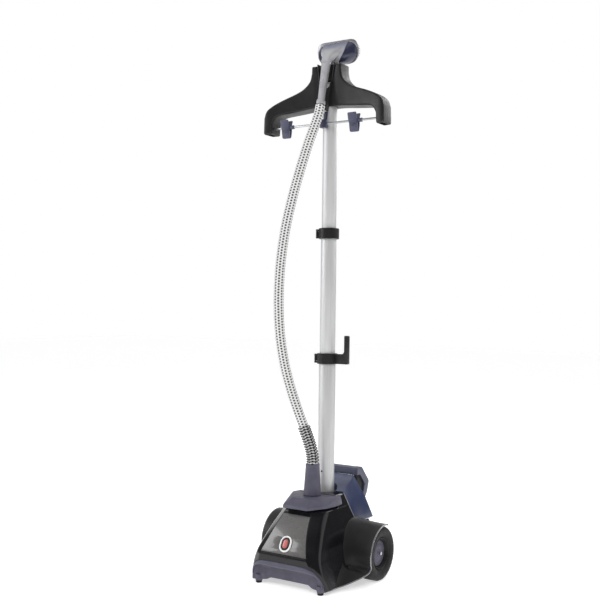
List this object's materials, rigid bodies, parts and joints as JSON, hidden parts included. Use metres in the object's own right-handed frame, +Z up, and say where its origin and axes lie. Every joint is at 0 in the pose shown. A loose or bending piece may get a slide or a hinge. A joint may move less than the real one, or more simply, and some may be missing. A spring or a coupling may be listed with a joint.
{
  "type": "garment steamer",
  "caption": "Upright wheeled garment steamer: base with lift-out water tank, telescopic pole, garment hanger with clips, and a hand-held steam head on a braided hose.",
  "frame": {"origin": "on the floor, at the middle of the footprint of everything but the hose; the pole axis is 39.3 mm behind it", "axes": "+Z up along the pole, +X along the hanger to the right as seen from the front, -Y towards the front panel"},
  "size_m": [0.422, 0.3826, 1.6249],
  "materials": {
    "gloss_black": "polished black moulded plastic",
    "satin_black": "fine satin moulded plastic",
    "soft_black": "unpolished moulded plastic",
    "blue_grey": "slate blue-grey satin plastic",
    "light_blue_grey": "light blue-grey satin plastic",
    "smoke_panel": "smoked glossy panel",
    "silver_trim": "silver painted trim",
    "aluminium": "brushed anodised tube",
    "steel": "drawn steel",
    "cast_metal": "as cast",
    "white_plastic": "glossy white ring",
    "lamp_red": "translucent red lens",
    "tank_blue": "translucent dark blue tank",
    "rubber": "matte moulded rubber",
    "silicone": "pale silicone tube",
    "navy": "satin navy plastic",
    "inlay": "silver-grey plastic",
    "braid": "white braid with small dark marks",
    "spring_braid": "pale sleeve with a dark zigzag"
  },
  "bodies": {
    "root": {"body_shell": "gloss_black", "control_panel": "smoke_panel", "top_cap": "blue_grey", "front_skirt": "blue_grey", "foot_left": "rubber", "foot_right": "rubber", "side_trim_left": "silver_trim", "side_trim_right": "silver_trim", "button_bezel": "white_plastic", "button_spring": "steel", "switch_block": "satin_black", "base_pan": "soft_black", "wheel_axle": "steel", "pole_receiver": "soft_black", "boiler": "cast_metal", "heater_element": "steel", "thermostat": "steel", "water_pump": "satin_black", "valve_seat": "rubber", "feed_tube": "silicone", "steam_tube": "silicone", "cord_gland": "rubber", "pole_lower": "aluminium", "collar_lower": "satin_black", "accessory_hook": "satin_black", "hose_socket": "blue_grey", "hose_spring": "spring_braid", "steam_hose": "braid"},
    "power_button": {"power_button": "satin_black", "power_lamp": "lamp_red"},
    "snap_pin": {"snap_pin": "satin_black"},
    "wheel_left": {"tyre_left": "rubber", "hub_left": "soft_black", "hub_cap_left": "blue_grey"},
    "wheel_right": {"tyre_right": "rubber", "hub_right": "soft_black", "hub_cap_right": "blue_grey"},
    "tank": {"water_tank": "tank_blue", "tank_valve": "light_blue_grey", "tank_handle": "light_blue_grey"},
    "lever_lower": {"lever_lower": "satin_black"},
    "pole_middle": {"pole_middle": "aluminium", "collar_upper": "satin_black"},
    "lever_upper": {"lever_upper": "satin_black"},
    "pole_upper": {"pole_upper": "aluminium", "hanger_front": "satin_black", "hanger_rear": "satin_black", "head_cradle": "satin_black", "clip_rod": "steel", "rod_holder": "navy"},
    "clip_left": {"clip_rear_left": "light_blue_grey", "clip_spring_left": "steel"},
    "clip_jaw_left": {"clip_front_left": "light_blue_grey"},
    "clip_right": {"clip_rear_right": "light_blue_grey", "clip_spring_right": "steel"},
    "clip_jaw_right": {"clip_front_right": "light_blue_grey"},
    "steam_head": {"head_handle": "inlay", "head_shell": "navy", "steam_plate": "silver_trim", "brush": "satin_black"}
  },
  "joints": [
    {"name": "power_button_press", "type": "slide", "parent": "root", "child": "power_button", "axis": [0, 0.8704, -0.4924], "range_m": [0, 0.003], "stiffness_N_per_m": 900, "deforming": ["button_spring"]},
    {"name": "snap_pin_press", "type": "slide", "parent": "root", "child": "snap_pin", "axis": [0, 1, 0], "range_m": [0, 0.003], "stiffness_N_per_m": 900},
    {"name": "wheel_left_spin", "type": "hinge", "parent": "root", "child": "wheel_left", "pos_m": [-0.155, 0.0643, 0.08], "axis": [1, 0, 0], "continuous": true},
    {"name": "wheel_right_spin", "type": "hinge", "parent": "root", "child": "wheel_right", "pos_m": [0.155, 0.0643, 0.08], "axis": [1, 0, 0], "continuous": true},
    {"name": "tank_lift", "type": "slide", "parent": "root", "child": "tank", "axis": [0, 0, 1], "range_m": [0, 0.12]},
    {"name": "lever_lower_swing", "type": "hinge", "parent": "root", "child": "lever_lower", "pos_m": [-0.0355, 0.0278, 0.652], "axis": [0, 0, 1], "range_deg": [0, 100]},
    {"name": "pole_middle_slide", "type": "slide", "parent": "root", "child": "pole_middle", "axis": [0, 0, 1], "range_m": [-0.26, 0], "deforming": ["steam_hose"]},
    {"name": "lever_upper_swing", "type": "hinge", "parent": "pole_middle", "child": "lever_upper", "pos_m": [-0.0355, 0.0278, 1.032], "axis": [0, 0, 1], "range_deg": [0, 100]},
    {"name": "pole_upper_slide", "type": "slide", "parent": "pole_middle", "child": "pole_upper", "axis": [0, 0, 1], "range_m": [-0.27, 0], "deforming": ["steam_hose"]},
    {"name": "clip_left_slide", "type": "slide", "parent": "pole_upper", "child": "clip_left", "axis": [1, 0, 0], "range_m": [-0.024, 0.075]},
    {"name": "clip_left_jaw", "type": "hinge", "parent": "clip_left", "child": "clip_jaw_left", "pos_m": [-0.136, 0.0023, 1.361], "axis": [-1, 0, 0], "range_deg": [0, 22], "stiffness_Nm_per_rad": 0.06},
    {"name": "clip_right_slide", "type": "slide", "parent": "pole_upper", "child": "clip_right", "axis": [1, 0, 0], "range_m": [-0.06, 0.045]},
    {"name": "clip_right_jaw", "type": "hinge", "parent": "clip_right", "child": "clip_jaw_right", "pos_m": [0.104, 0.0023, 1.361], "axis": [-1, 0, 0], "range_deg": [0, 22], "stiffness_Nm_per_rad": 0.06},
    {"name": "steam_head_lift", "type": "slide", "parent": "pole_upper", "child": "steam_head", "axis": [0, -0.87, 0.4931], "range_m": [0, 0.1], "deforming": ["steam_hose"]}
  ]
}
